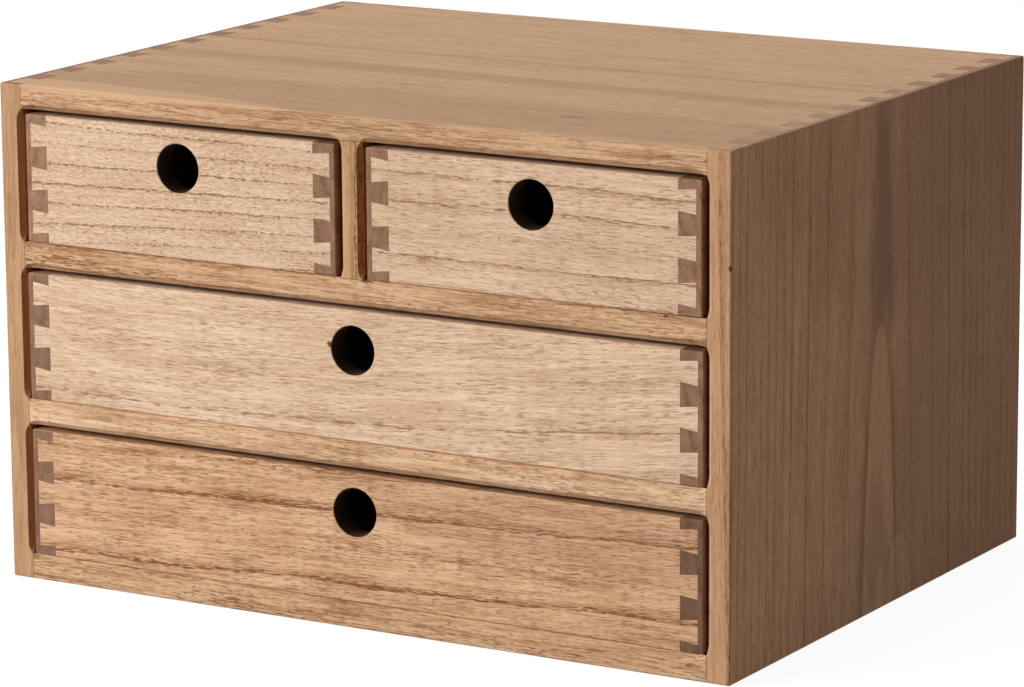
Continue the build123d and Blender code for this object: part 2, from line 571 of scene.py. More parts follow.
    def _rings(self) -> tuple[Socket, Socket]:
        """The rings round the log's centre line.

        Returns:
            The place within a ring, 0 to 1 outward, and how strong that ring is.
        """
        tree, given = self.tree, self.given
        slow = self._swing(self._grains(self.SLOW_DRIFT), given["Warp"], 1.0)
        quick = self._swing(self._grains(self.QUICK_DRIFT), given["Wiggle"])
        square = tree.math("MULTIPLY", self.side, self.side)
        radius = tree.math("SQRT", tree.math("MULTIPLY_ADD", self.up, self.up, square))
        closing = tree.math("MULTIPLY", self.along, given["Taper"])
        off_focus = tree.math("SUBTRACT", radius, given["Focus"])
        radius = tree.math("MULTIPLY_ADD", off_focus, closing, radius)
        radius = tree.math("ADD", radius, tree.math("ADD", slow, quick))
        years = tree.vector(tree.math("MULTIPLY", radius, self.GAP_DRIFT), given["Seed"], 0.0)
        count = tree.math("DIVIDE", radius, given["Ring Gap"])
        count = tree.math("ADD", count, self._swing(years, given["Uneven"], 1.0))
        lot = tree.add("ShaderNodeTexWhiteNoise", noise_dimensions="1D")
        tree.feed(lot.inputs["W"], tree.math("ADD", tree.math("FLOOR", count), given["Seed"]))
        weaker = tree.math("MULTIPLY", lot.outputs["Value"], given["Vary"])
        return tree.math("FRACT", count), tree.math("SUBTRACT", 1.0, weaker)

    def _pores(self, place: Socket, force: Socket) -> Socket:
        """Dark pores: many where a ring starts, and some scattered between.

        Args:
            place: The place within a ring.
            force: How strong that ring is.

        Returns:
            A socket that is 0 beside the pores and up to 1 in them.
        """
        tree, given = self.tree, self.given
        rise = tree.ease(place, 0.0, self.PORE_ONSET)
        fall = tree.ease(place, tree.math("MULTIPLY", given["Spread"], self.DENSE), given["Spread"])
        porous = tree.math("MULTIPLY", rise, tree.math("SUBTRACT", 1.0, fall))
        porous = tree.math("MULTIPLY", porous, force)
        crowd = tree.math("MAXIMUM", tree.math("MULTIPLY", porous, given["Line"]), given["Scatter"])
        crowd = tree.math("ADD", crowd, self._swing(self._grains(self.PORE_PATCH), self.PATCHINESS))
        layers = []
        for layer in self.LAYERS:
            along = tree.math("ADD", self.seeded, layer.shift_mm)
            along = tree.math("DIVIDE", along, given["Pore Length"])
            along = tree.math("DIVIDE", along, layer.length)
            wide = [
                tree.math("DIVIDE", tree.math("DIVIDE", part, given["Pore Width"]), layer.width)
                for part in (self.side, self.up)
            ]
            noise = tree.noise(tree.vector(along, *wide), 1.0, self.PORE_NOISE_ROUGH)
            gate = tree.math("MULTIPLY_ADD", crowd, -self.CROWD_DROP, layer.gate)
            layers.append(tree.ease(noise, gate, tree.math("ADD", gate, self.PORE_EDGE)))
        depth = tree.math("MULTIPLY_ADD", porous, self.RING_DEPTH, 1.0 - self.RING_DEPTH)
        return tree.math("MULTIPLY", tree.math("MAXIMUM", *layers), depth)

    def _build(self) -> None:
        """Rings, pores and fibres, then the colours that they carry."""
        tree, given = self.tree, self.given
        place, force = self._rings()
        pore = self._pores(place, force)

        band = tree.math("SUBTRACT", 1.0, tree.ease(place, *self.BAND_FADE))
        band = tree.math("MULTIPLY", band, tree.ease(place, 0.0, self.BAND_ONSET))
        band = tree.math("MULTIPLY", band, force)
        shade = tree.math("MULTIPLY_ADD", band, given["Band"], self.PLAIN_SHADE)
        for name, sizes in self.SHADES.items():
            shade = tree.math("ADD", shade, self._swing(self._grains(sizes), given[name]))
        face = tree.mix(shade, given["Light"], given["Dark"])
        face = tree.mix(tree.math("MULTIPLY", pore, given["Pore Depth"]), face, given["Pore"])

        specks = tree.noise(self._grains(self.END_SPECK))
        patches = tree.noise(self._grains(self.END_PATCH))
        end_shade = tree.math("ADD", specks, patches)
        end_shade = tree.math("MULTIPLY_ADD", end_shade, self.END_CONTRAST, self.END_SHADE)
        end_shade = tree.math("MULTIPLY_ADD", band, self.END_BAND, end_shade)
        end_grain = tree.mix(end_shade, given["End Light"], given["End Dark"])

        fibres = tree.noise(self._grains(self.FIBRE))
        dents = tree.math("MULTIPLY", pore, self.PORE_HEIGHT)
        out = tree.add("NodeGroupOutput").inputs
        tree.feed(out["Color"], tree.mix(given["End"], face, end_grain))
        roughness = tree.math("MULTIPLY_ADD", pore, self.PORE_ROUGHNESS, self.PLAIN_ROUGHNESS)
        tree.feed(out["Roughness"], roughness)
        tree.feed(out["Height"], tree.math("MULTIPLY_ADD", fibres, self.FIBRE_HEIGHT, dents))

    def finish(self, board: Board) -> bpy.types.Material:
        """The material of one board.

        Args:
            board: The board, with its cut, figure and tone.

        Returns:
            The new material.
        """
        material = bpy.data.materials.new(f"wood_{board.node}")
        tree = Tree.emptied(material)
        place = tree.add("ShaderNodeTexCoord").outputs
        cut, axes = board.cut, board.cut.axes()
        log = tree.add("ShaderNodeMapping")
        tree.feed(log.inputs["Vector"], place["Object"])
        log.inputs["Scale"].default_value = (1 / MM,) * 3
        log.inputs["Rotation"].default_value = axes.to_euler("XYZ")
        log.inputs["Location"].default_value = -(axes @ Vector(cut.pith_mm))
        along = tree.math("ABSOLUTE", tree.facing(place["Normal"], cut.grain.value))

        given = {
            "Log": log.outputs[0], "Seed": board.seed, "End": tree.ease(along, *self.END_FACING),
            "Taper": cut.taper, "Focus": cut.focus_mm, "Bow": cut.bow,
        }
        for look in (board.figure, board.tone):
            given |= {socket_name(entry.name): getattr(look, entry.name) for entry in fields(look)}
        wood = tree.add("ShaderNodeGroup", node_tree=self.group)
        for name, value in given.items():
            tree.feed(wood.inputs[name], value)
        colour = wood.outputs["Color"]
        if board.scorched:
            colour = self._scorched(tree, place, colour, board.scorched)
        bare = colour
        for mark in board.marks:
            stain = bare if mark.colour is None else mark.colour
            colour = self._marked(tree, place["Object"], colour, mark, stain)

        bump = tree.add("ShaderNodeBump")
        bump.inputs["Strength"].default_value = self.BUMP_STRENGTH
        bump.inputs["Distance"].default_value = self.BUMP_DISTANCE
        tree.feed(bump.inputs["Height"], wood.outputs["Height"])
        shader = tree.add("ShaderNodeBsdfPrincipled")
        shader.inputs["Specular IOR Level"].default_value = self.SPECULAR
        tree.feed(shader.inputs["Base Color"], colour)
        tree.feed(shader.inputs["Roughness"], wood.outputs["Roughness"])
        tree.feed(shader.inputs["Normal"], bump.outputs[0])
        tree.surface(shader.outputs[0])
        return material

    def _scorched(self, tree: Tree, place: bpy.types.NodeOutputs, colour: Socket,
                  look: Point) -> Socket:
        """The colour, darkened as painted shade on the faces near the front that look one way.

        Args:
            tree: The material's tree.
            place: Outputs of its Texture Coordinate node.
            colour: The wood's colour.
            look: The way that the faces with painted shade look.

        Returns:
            The new colour's socket.
        """
        depth = tree.parts(place["Object"])[1]
        near = tree.math("SUBTRACT", 1.0, tree.ease(depth, *self.SCORCH_DEPTH))
        turned = tree.ease(tree.facing(place["Normal"], look), *self.SCORCH_FACING)
        # Painted shade: the gaps' walls, chamfers and undersides near the front are darkened.
        darkened = tree.mix(1.0, colour, PAINTED_SHADE, "MULTIPLY")
        return tree.mix(tree.math("MULTIPLY", turned, near), colour, darkened)

    def _marked(self, tree: Tree, place: Socket, colour: Socket, mark: Mark,
                stain: Paint) -> Socket:
        """The colour with one mark on it.

        Args:
            tree: The material's tree.
            place: Object coordinates.
            colour: The colour below the mark.
            mark: The mark.
            stain: The mark's colour, or the bare wood's.

        Returns:
            The new colour's socket.
        """
        offset = tree.add("ShaderNodeMapping")
        tree.feed(offset.inputs["Vector"], place)
        offset.inputs["Scale"].default_value = [1 / MM / radius for radius in mark.radii_mm]
        offset.inputs["Location"].default_value = [
            -centre / radius for centre, radius in zip(mark.centre_mm, mark.radii_mm)
        ]
        size = tree.add("ShaderNodeVectorMath", operation="LENGTH")
        tree.feed(size.inputs[0], offset.outputs[0])
        noise = tree.math("SUBTRACT", tree.noise(offset.outputs[0]), 0.5)
        reach = tree.math("MULTIPLY_ADD", noise, 2.0 * mark.ragged, size.outputs["Value"])
        soft = self.MARK_EDGE + self.RAGGED_EDGE * mark.ragged
        share = tree.math("SUBTRACT", 1.0, tree.ease(reach, 1.0 - soft, 1.0 + soft))
        return tree.mix(tree.math("MULTIPLY", share, mark.strength), colour, stain)


# Colours of the finish, as the wood shows them in even light;
# SHADED_INNER_TONE holds painted shade.
CASE_TONE = Tone(
    light=srgb(225, 184, 146), dark=srgb(172, 127, 89), pore=srgb(126, 80, 46),
    end_light=srgb(172, 134, 106), end_dark=srgb(138, 102, 78),
)
LEFT_TONE = replace(CASE_TONE, light=srgb(207, 164, 126), dark=srgb(164, 119, 83))
PALE_CASE_TONE = replace(
    CASE_TONE, light=srgb(240, 202, 165), dark=srgb(190, 147, 110), pore=srgb(144, 96, 60),
)
SIDE_TONE = Tone(
    light=srgb(214, 167, 129), dark=srgb(160, 112, 77), pore=srgb(122, 80, 54),
    end_light=srgb(200, 162, 132), end_dark=srgb(166, 128, 102),
)
FRONT_TONE = Tone(
    light=srgb(237, 205, 175), dark=srgb(189, 148, 113), pore=srgb(142, 95, 58),
    end_light=srgb(160, 126, 104), end_dark=srgb(126, 94, 74),
)
PALE_FRONT_TONE = replace(
    FRONT_TONE, light=srgb(244, 212, 182), dark=srgb(193, 151, 116), pore=srgb(148, 100, 62),
)
RED_TONE = Tone(
    light=srgb(237, 193, 155), dark=srgb(171, 121, 81), pore=srgb(118, 70, 36),
    end_light=srgb(150, 118, 95), end_dark=srgb(116, 86, 66),
)
INNER_TONE = Tone(
    light=srgb(196, 154, 120), dark=srgb(154, 112, 80), pore=srgb(110, 74, 50),
    end_light=srgb(166, 129, 103), end_dark=srgb(132, 97, 74),
)
# Painted shade: INNER_TONE darkened for the drawers' right sides, whose outer faces lie in the
# shaded gap at the right.
SHADED_INNER_TONE = Tone(
    light=srgb(156, 114, 84), dark=srgb(118, 80, 54), pore=srgb(88, 56, 36),
    end_light=srgb(148, 113, 89), end_dark=srgb(114, 82, 62),
)
PANEL_TONE = Tone(
    light=srgb(224, 192, 154), dark=srgb(192, 154, 114), pore=srgb(148, 112, 78),
    end_light=srgb(160, 128, 98), end_dark=srgb(124, 94, 68),
)

# Painted shade: what is left of the wood's colour on faces near the front that
# look right or down, where the gaps round the drawers lie in shade, and those ways.
PAINTED_SHADE = (0.62, 0.42, 0.28)
LOOKING_RIGHT = (0.92, -0.38, 0.0)
LOOKING_DOWN = (0.0, -0.1, -1.0)

# Colours of the marks.
KNOT = srgb(70, 42, 26)
SHADOWED = srgb(46, 30, 21)
PURPLE = srgb(124, 84, 64)
BROWNED = srgb(146, 100, 70)
ARCH = srgb(232, 180, 128)
RUBBED = srgb(203, 164, 128)
BAND = srgb(158, 116, 84)
PALE = srgb(222, 180, 142)


@dataclass(frozen=True)
class Faces:
    """Where the case's right, front and top faces lie, in mm."""

    right: float
    front: float
    top: float

    @classmethod
    def of_case(cls) -> "Faces":
        """The faces of the loaded case.

        Returns:
            Their places.
        """
        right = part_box("right_side")[1].x
        low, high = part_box("top_panel")
        return cls(mm(right), mm(low.y), mm(high.z))


@dataclass
class Woodwork:
    """A sub-assembly of boards on one body, dressed with the shared wood."""

    body: str
    boards: tuple[Board, ...]

    def dress(self, nodes: dict[str, bpy.types.Object], wood: SolidWood) -> None:
        """Give every board its own finish.

        Args:
            nodes: The chest's boards by name.
            wood: The shared wood.
        """
        for board in self.boards:
            material = wood.finish(board)
            mesh = nodes[board.node].data
            mesh.materials.clear()
            mesh.materials.append(material)
            LOG.info("%s: %s finished on body %s", board.node, material.name, self.body)


@dataclass
class Case(Woodwork):
    """The glued case: sides, top, bottom, shelves, divider and back."""

    @classmethod
    def build(cls, faces: Faces) -> "Case":
        """The case with each board's place in its log.

        Args:
            faces: Where the case's faces lie.

        Returns:
            The case.
        """
        outside = (cls._right_side(faces), cls._left_side(), cls._top_panel(faces))
        return cls("case", (*outside, *cls._inside(faces)))

    @staticmethod
    def _right_side(faces: Faces) -> Board:
        """The right side, with an arch of pale wood in a purple streak, and painted shade towards
        its back and top.

        Args:
            faces: Where the case's faces lie.

        Returns:
            The board.
        """
        figure = Figure(
            ring_gap_mm=5.055, warp_mm=0.2, wiggle_mm=0.08, uneven=0.0, vary=0.85, band=0.4,
            spread=0.3, line=1.05, scatter=0.5, pore_length_mm=7.0, pore_depth=0.65, grit=0.14,
        )
        right, top = faces.right, faces.top
        arch = (right, -2.5, -40.0)
        marks = (
            # The first two marks are painted shade: darker towards the back and the top of the
            # side.
            Mark((right, 100.0, 100.0), (40.0, 95.0, 160.0), BROWNED, 0.4, 0.5),
            Mark((right, 45.0, top), (30.0, 150.0, 75.0), BROWNED, 0.25, 0.4),
            Mark((right, -1.5, 152.0), (30.0, 9.0, 52.0), PURPLE, 0.62, 0.9),
            Mark(arch, (4.0, 18.5, 160.0), PURPLE, 0.55, 0.25),
            Mark(arch, (4.0, 14.5, 155.0), None, 0.9, 0.03),
            Mark(arch, (4.0, 14.0, 153.0), ARCH, 0.2, 0.3),
            Mark((right, -5.0, 28.0), (20.0, 9.0, 20.0), PURPLE, 0.3, 1.0),
            Mark((right, 14.0, -2.0), (3.0, 13.0, 32.0), PURPLE, 0.3, 0.3),
            Mark((right, 15.0, -4.0), (3.0, 12.0, 31.0), None, 0.8, 0.04),
            Mark((right, faces.front, 159.0), (0.9, 0.9, 1.3), KNOT, 0.9),
        )
        cut = Cut(Grain.UP, (104.34, -3.0, 100.0), lean=(-0.02, 0.0))
        return Board("right_side", cut, figure, SIDE_TONE, 1.0, marks)

    @staticmethod
    def _left_side() -> Board:
        """The left side, of calm wood.

        Returns:
            The board.
        """
        figure = Figure(
            ring_gap_mm=6.0, band=0.15, line=0.6, scatter=0.5, pore_length_mm=12.0, pore_depth=0.5,
            grit=0.1, fibre=0.3, streak=0.24, cloud=0.1,
        )
        cut = Cut(Grain.UP, (-105.0, 20.0, 60.0), lean=(0.016, 0.0))
        return Board("left_side", cut, figure, LEFT_TONE, 2.0, scorched=LOOKING_RIGHT)

    @staticmethod
    def _top_panel(faces: Faces) -> Board:
        """The top, rubbed paler on its upper face, with darker bands.

        Args:
            faces: Where the case's faces lie.

        Returns:
            The board.
        """
        figure = Figure(
            ring_gap_mm=9.0, warp_mm=2.4, band=0.12, line=0.8, scatter=0.72, pore_length_mm=8.0,
            pore_depth=0.85, grit=0.26, fibre=0.44, streak=0.44,
        )
        top = faces.top
        marks = (
            Mark((0.0, 0.0, top + 2.0), (3000.0, 3000.0, 2.6), RUBBED, 0.6, 0.05),
            Mark((0.0, -25.0, top), (300.0, 7.0, 60.0), BAND, 0.38, 0.9),
            Mark((0.0, 16.0, top), (260.0, 2.8, 40.0), BAND, 0.34, 0.9),
            Mark((20.0, -98.0, top), (230.0, 30.0, 60.0), BAND, 0.3, 0.4),
            Mark((-160.0, -142.0, top), (150.0, 32.0, 3.0), PALE, 0.6, 0.05),
            Mark((76.0, -90.0, top), (5.0, 3.0, 2.0), KNOT, 0.3),
        )
        cut = Cut(Grain.ACROSS, (0.0, 40.0, -60.0))
        return Board("top_panel", cut, figure, CASE_TONE, 3.0, marks, LOOKING_DOWN)

    @staticmethod
    def _inside(faces: Faces) -> tuple[Board, ...]:
        """The bottom, the shelves, the divider and the back.

        Args:
            faces: Where the case's faces lie.

        Returns:
            The five boards.
        """
        plain = Figure(
            ring_gap_mm=5.5, line=0.95, scatter=0.75, pore_length_mm=7.0, pore_depth=0.9,
            grit=0.2, fibre=0.44, streak=0.46, cloud=0.24,
        )
        flecked = Figure(
            ring_gap_mm=8.26, warp_mm=0.3, wiggle_mm=0.4, uneven=0.0, vary=0.0, band=0.15,
            spread=0.2, line=1.2, scatter=0.4, pore_length_mm=2.4, pore_width_mm=0.55,
            pore_depth=0.8,
        )
        across, front = Grain.ACROSS, faces.front
        knots = (
            Mark((6.5, front, 139.0), (2.2, 2.0, 0.8), KNOT, 0.8),
            Mark((137.0, front, 138.6), (1.4, 2.0, 0.9), KNOT, 0.85),
        )
        streak = Mark((0.6, front, 165.0), (0.9, 3.0, 70.0), BROWNED, 0.38, 0.5)
        return (
            Board("bottom_panel", Cut(across, (0.0, 10.0, 60.0)), plain, CASE_TONE, 4.0),
            Board("upper_shelf", Cut(across, (0.0, 60.0, 170.0)), plain, CASE_TONE, 5.0,
                  knots, LOOKING_DOWN),
            Board("lower_shelf", Cut(across, (0.0, 70.0, 20.0)), plain, PALE_CASE_TONE, 6.0,
                  scorched=LOOKING_DOWN),
            Board("centre_divider", Cut(Grain.UP, (-60.0, -60.0, 160.0)), flecked, LEFT_TONE, 7.0,
                  (streak,), LOOKING_RIGHT),
            Board("back_panel", Cut(across, (0.0, 200.0, 60.0)), plain, PANEL_TONE, 8.0),
        )


@dataclass(frozen=True)
class DrawerLook:
    """How one drawer looks: its front's wood and its sides' end grain.

    ends is how bright the end grain of its left and right side is.  On its
    front, stains lie below the shade of the finger hole and chips above it.
    """

    name: str
    cut: Cut
    figure: Figure
    tone: Tone
    seed: float
    ends: tuple[float, float]
    stains: tuple[Mark, ...] = ()
    chips: tuple[Mark, ...] = ()


def drawer_looks(faces: Faces) -> tuple[DrawerLook, ...]:
    """How the four drawers look.

    Args:
        faces: Where the case's faces lie.

    Returns:
        The drawers' looks from the top down.
    """
    across = Grain.ACROSS
    # The four fronts lie in one plane.
    face = mm(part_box("lower_drawer_front")[0].y)
    return (
        DrawerLook(
            "upper_left", Cut(across, (-150.0, face, 295.8), taper=0.00173, focus_mm=112.4),
            Figure(ring_gap_mm=8.2, warp_mm=0.6, wiggle_mm=0.4, uneven=0.05, vary=0.3, band=0.2,
                   spread=0.26, line=1.2, scatter=0.6, pore_length_mm=2.8, pore_width_mm=0.48,
                   pore_depth=0.85, grit=0.36),
            FRONT_TONE, 11.0, (1.12, 1.28),
        ),
        DrawerLook(
            "upper_right", Cut(across, (80.0, face, 289.5)),
            Figure(ring_gap_mm=10.6, warp_mm=0.8, wiggle_mm=0.15, uneven=0.0, vary=0.75, band=0.3,
                   spread=0.25, line=1.15, scatter=0.72, pore_length_mm=7.0, pore_depth=0.8,
                   streak=0.24),
            FRONT_TONE, 53.0, (0.95, 1.36),
        ),
        DrawerLook(
            "middle", Cut(across, (-97.0, face, -60.0), bow=0.00026),
            Figure(ring_gap_mm=17.35, warp_mm=1.2, wiggle_mm=0.3, uneven=0.0, vary=0.8, band=0.2,
                   spread=0.15, line=1.15, scatter=0.72, pore_length_mm=9.0, pore_depth=0.8,
                   streak=0.3, cloud=0.2),
            PALE_FRONT_TONE, 48.0, (0.92, 1.2),
            chips=(Mark((-10.4, faces.front, 112.4), (1.1, 2.0, 1.3), KNOT, 0.9),),
        ),
        DrawerLook(
            "lower", Cut(across, (0.0, face, -84.7), lean=(0.0, 0.028)),
            Figure(ring_gap_mm=14.5, warp_mm=1.3, wiggle_mm=0.45, uneven=0.0, vary=0.8, band=0.3,
                   spread=0.3, line=1.15, scatter=0.74, pore_length_mm=8.0, pore_depth=0.85,
                   fibre=0.34, streak=0.38, cloud=0.2),
            RED_TONE, 11.0, (0.9, 0.82),
            stains=(Mark((125.0, faces.front, 52.0), (120.0, 20.0, 22.0), BROWNED, 0.2, 0.7),),
        ),
    )


@dataclass
class Drawer(Woodwork):
    """One drawer: its dovetailed front, sides and back, and its thin bottom.

    The finger hole's centre lies hole_drop_mm below the front's top edge.
    hole_shade_mm and gap_shade_mm are half the sizes of the shades in the
    hole and in the gap above the front.
    """

    hole_drop_mm: float = 15.8
    hole_shade_mm: Point = (9.8, 400.0, 9.8)
    gap_shade_mm: Point = (900.0, 6.0, 1.2)

    @classmethod
    def _shades(cls, low: Vector, high: Vector) -> tuple[Mark, Mark]:
        """Shade in a front's finger hole and in the gap above the front.

        Args:
            low: The front's lowest corner.
            high: The front's highest corner.

        Returns:
            A mark that fills the hole, and one on the rear of the top edge.
        """
        top = mm(high.z)
        hole = (mm((low.x + high.x) / 2), mm((low.y + high.y) / 2), top - cls.hole_drop_mm)
        rear = (0.0, mm(high.y), top)
        return (
            Mark(hole, cls.hole_shade_mm, SHADOWED, 0.9, 0.0),
            Mark(rear, cls.gap_shade_mm, SHADOWED, 0.5, 0.5),
        )

    @classmethod
    def build(cls, look: DrawerLook, seed: float) -> "Drawer":
        """A drawer with plainer boards behind its front.

        Args:
            look: How the drawer looks.
            seed: Number that sets its other boards apart.

        Returns:
            The drawer.
        """
        name = look.name
        low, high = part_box(f"{name}_drawer_front")
        middle = (low + high) / 2 / MM
        marks = (*look.stains, *cls._shades(low, high), *look.chips)
        front = Board(f"{name}_drawer_front", look.cut, look.figure, look.tone, look.seed, marks)
        plain = Figure(ring_gap_mm=6.0, line=0.7)
        sides = []
        # Each pith lies well away from its board, whose rings then look calm.
        for end, reach, tone in (
            ("left", 70.0, INNER_TONE.with_ends(look.ends[0])),
            ("right", -65.0, SHADED_INNER_TONE.with_ends(look.ends[1])),
        ):
            cut = Cut(Grain.BACK, (middle.x + reach, 0.0, middle.z - 40.0))
            sides.append(Board(f"{name}_drawer_{end}_side", cut, plain, tone, seed + reach))
        cut = Cut(Grain.ACROSS, (0.0, 180.0, middle.z - 20.0))
        back = Board(f"{name}_drawer_back", cut, plain, INNER_TONE, seed + 0.5)
        cut = Cut(Grain.ACROSS, (0.0, 0.0, middle.z - 120.0))
        bottom = Board(f"{name}_drawer_bottom", cut, plain, PANEL_TONE, seed + 0.7)
        return cls(f"{name}_drawer", (front, *sides, back, bottom))


class DovetailLines:
    """Geometry Nodes: glue lines of the dovetails at both ends of a board.

    The board lies in the XY plane, with its dovetailed ends at plus and minus
    half the span along X.  A row of tails is a zigzag: four corners for each
    tail, and one more point at each end of the row.
    """

    INPUTS = (
        ("Span", "NodeSocketFloat"), ("Reach", "NodeSocketFloat"), ("Tails", "NodeSocketInt"),
        ("Tail Pitch", "NodeSocketFloat"), ("Pin Width", "NodeSocketFloat"),
        ("Tail Length", "NodeSocketFloat"), ("Tail Slope", "NodeSocketFloat"),
        ("Line Width", "NodeSocketFloat"), ("Material", "NodeSocketMaterial"),
    )
    CORNERS = 4.0

    def __init__(self) -> None:
        """Build the tree."""
        self.group = bpy.data.node_groups.new("dovetail_lines", "GeometryNodeTree")
        face = self.group.interface
        self.sockets = {
            name: face.new_socket(name, in_out="INPUT", socket_type=kind).identifier
            for name, kind in self.INPUTS
        }
        face.new_socket("Geometry", in_out="OUTPUT", socket_type="NodeSocketGeometry")
        self.tree = Tree(self.group)
        self.given = self.tree.add("NodeGroupInput").outputs
        self._build()

    def _corner(self) -> Socket:
        """Place of each point of one row's zigzag, from its index.

        Returns:
            The place's socket.
        """
        tree, given = self.tree, self.given
        step = tree.math("SUBTRACT", tree.add("GeometryNodeInputIndex").outputs[0], 1.0)
        tail = tree.math("FLOOR", tree.math("DIVIDE", step, self.CORNERS))
        # A tail's corners turn at -1.5, -0.5, 0.5 and 1.5; the inner two reach out.
        turn = tree.math("MULTIPLY_ADD", tail, -self.CORNERS, step)
        turn = tree.math("SUBTRACT", turn, (self.CORNERS - 1.0) / 2)
        outer = tree.math("LESS_THAN", tree.math("ABSOLUTE", turn), 1.0)
        x = tree.math("MULTIPLY", outer, given["Tail Length"])
        tail_width = tree.math("SUBTRACT", given["Tail Pitch"], given["Pin Width"])
        half = tree.math("MULTIPLY", tail_width, 0.5)
        half = tree.math("MULTIPLY_ADD", x, tree.math("TANGENT", given["Tail Slope"]), half)
        first = tree.math("MULTIPLY_ADD", given["Tails"], -0.5, 0.5)
        y = tree.math("MULTIPLY", tree.math("ADD", tail, first), given["Tail Pitch"])
        y = tree.math("MULTIPLY_ADD", tree.math("SIGN", turn), half, y)
        limit = tree.math("MULTIPLY", given["Reach"], 0.5)
        y = tree.math("MAXIMUM", tree.math("MINIMUM", y, limit), tree.math("MULTIPLY", limit, -1.0))
        return tree.vector(x, y, 0.0)

    def _ribbon(self) -> Socket:
        """One row of tails as a flat ribbon along its zigzag.

        Returns:
            The ribbon's socket.
        """
        tree, given = self.tree, self.given
        points = tree.add("GeometryNodeMeshLine", mode="OFFSET")
        count = tree.math("MULTIPLY_ADD", given["Tails"], self.CORNERS, 2.0)
        tree.feed(points.inputs["Count"], count)
        points.inputs["Offset"].default_value = (0.0, MM, 0.0)
        placed = tree.add("GeometryNodeSetPosition")
        tree.feed(placed.inputs["Geometry"], points.outputs[0])
        tree.feed(placed.inputs["Position"], self._corner())
        curve = tree.add("GeometryNodeMeshToCurve")
        tree.feed(curve.inputs["Mesh"], placed.outputs[0])
        flat = tree.add("GeometryNodeSetCurveNormal", mode="Z_UP")
        tree.feed(flat.inputs["Curve"], curve.outputs[0])
        width = tree.add("GeometryNodeCurvePrimitiveLine")
        for name, share in (("Start", -0.5), ("End", 0.5)):
            reach = tree.math("MULTIPLY", given["Line Width"], share)
            tree.feed(width.inputs[name], tree.vector(reach, 0.0, 0.0))
        ribbon = tree.add("GeometryNodeCurveToMesh")
        tree.feed(ribbon.inputs["Curve"], flat.outputs[0])
        tree.feed(ribbon.inputs["Profile Curve"], width.outputs[0])
        return ribbon.outputs[0]

    def _build(self) -> None:
        """The ribbon at both ends of the board, each turned to face its end."""
        tree, given = self.tree, self.given
        ends = tree.add("GeometryNodeMeshLine", mode="END_POINTS")
        ends.inputs["Count"].default_value = 2
        half = tree.math("MULTIPLY", given["Span"], 0.5)
        start = tree.vector(tree.math("MULTIPLY", half, -1.0), 0.0, 0.0)
        tree.feed(ends.inputs["Start Location"], start)
        # With two end points, this input is the second one's place.
        tree.feed(ends.inputs["Offset"], tree.vector(half, 0.0, 0.0))
        index = tree.add("GeometryNodeInputIndex").outputs[0]
        turn = tree.math("MULTIPLY", tree.math("SUBTRACT", 1.0, index), math.pi)
        both = tree.add("GeometryNodeInstanceOnPoints")
        tree.feed(both.inputs["Points"], ends.outputs[0])
        tree.feed(both.inputs["Instance"], self._ribbon())
        tree.feed(both.inputs["Rotation"], tree.vector(0.0, 0.0, turn))
        real = tree.add("GeometryNodeRealizeInstances")
        tree.feed(real.inputs[0], both.outputs[0])
        dressed = tree.add("GeometryNodeSetMaterial")
        tree.feed(dressed.inputs["Geometry"], real.outputs[0])
        tree.feed(dressed.inputs["Material"], given["Material"])
        out = tree.add("NodeGroupOutput")
        tree.feed(out.inputs[0], dressed.outputs[0])

    def bake(self, name: str, settings: dict[str, object], place: Matrix) -> bpy.types.Mesh:
        """A mesh of the glue lines, moved to its place.

        Args:
            name: The mesh's name.
            settings: Values for the tree's inputs by name.
            place: Matrix from the board's plane to the chest's frame.

        Returns:
            The baked mesh.
        """
        holder = put(name, bpy.data.meshes.new(f"{name}_seed"))
        modifier = holder.modifiers.new("dovetail_lines", "NODES")
        modifier.node_group = self.group
        for key, value in settings.items():
            modifier[self.sockets[key]] = value
        graph = bpy.context.evaluated_depsgraph_get()
        mesh = bpy.data.meshes.new_from_object(holder.evaluated_get(graph))
        seed = holder.data
        bpy.data.objects.remove(holder)
        bpy.data.meshes.remove(seed)
        mesh.name = name
        mesh.transform(place)
        return mesh


@dataclass(frozen=True)
class TailRow:
    """The row of dovetails at one end of a board.

    pitch_mm is the distance from one tail to the next, pin_mm the width of a
    pin at the tails' roots and length_mm how long the tails are.
    """

    tails: int
    pitch_mm: float
    pin_mm: float
    length_mm: float


@dataclass(frozen=True)
class GlueFinish:
    """Dark matt glue in a joint."""

    name: str
    colour: Colour
    roughness: float = 0.8
    specular: float = 0.1

    def material(self) -> bpy.types.Material:
        """The glue's material.

        Returns:
            The new material.
        """
        material = bpy.data.materials.new(self.name)
        tree = Tree.emptied(material)
        shader = tree.add("ShaderNodeBsdfPrincipled")
        tree.feed(shader.inputs["Base Color"], self.colour)
        tree.feed(shader.inputs["Roughness"], self.roughness)
        tree.feed(shader.inputs["Specular IOR Level"], self.specular)
        tree.surface(shader.outputs[0])
        return material


